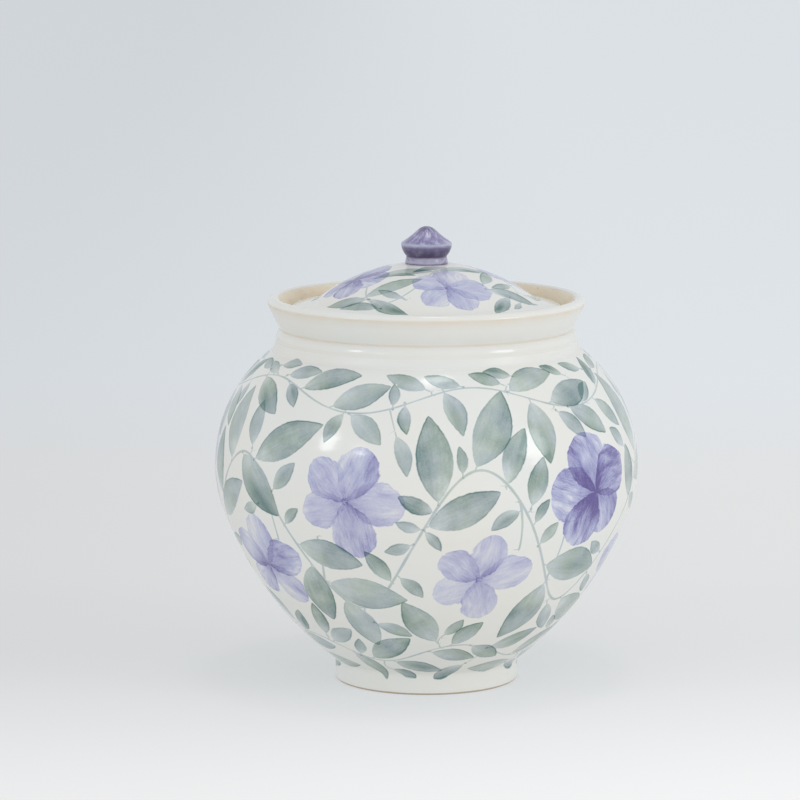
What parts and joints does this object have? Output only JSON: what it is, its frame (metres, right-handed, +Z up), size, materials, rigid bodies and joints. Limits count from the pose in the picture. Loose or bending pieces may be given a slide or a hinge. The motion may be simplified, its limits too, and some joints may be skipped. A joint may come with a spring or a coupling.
{
  "type": "olive jar",
  "caption": "Round-bellied glazed ceramic jar on a narrow foot, with a flared collar and a low domed lid with a knob that drops into a sunk gallery.",
  "frame": {"origin": "centre of the foot ring, on the surface that the jar stands on", "axes": "+Z up along the axis that the jar and its lid are turned about; the jar is the same all round, and -Y faces the picture's camera"},
  "size_m": [0.212, 0.212, 0.2281],
  "materials": {
    "cream_glaze": "glossy cream glaze over a hand-painted sage and lilac design, bare clay where the lid seats and under the foot",
    "purple_glaze": "glossy clear glaze over brushed purple, darker on the tip and the drum"
  },
  "bodies": {
    "jar": {"jar": "cream_glaze"},
    "lid": {"lid": "cream_glaze", "knob": "purple_glaze"}
  },
  "joints": [
    {"name": "lid_lift", "type": "slide", "parent": "jar", "child": "lid", "axis": [0, 0, 1], "range_m": [0, 0.1]}
  ]
}
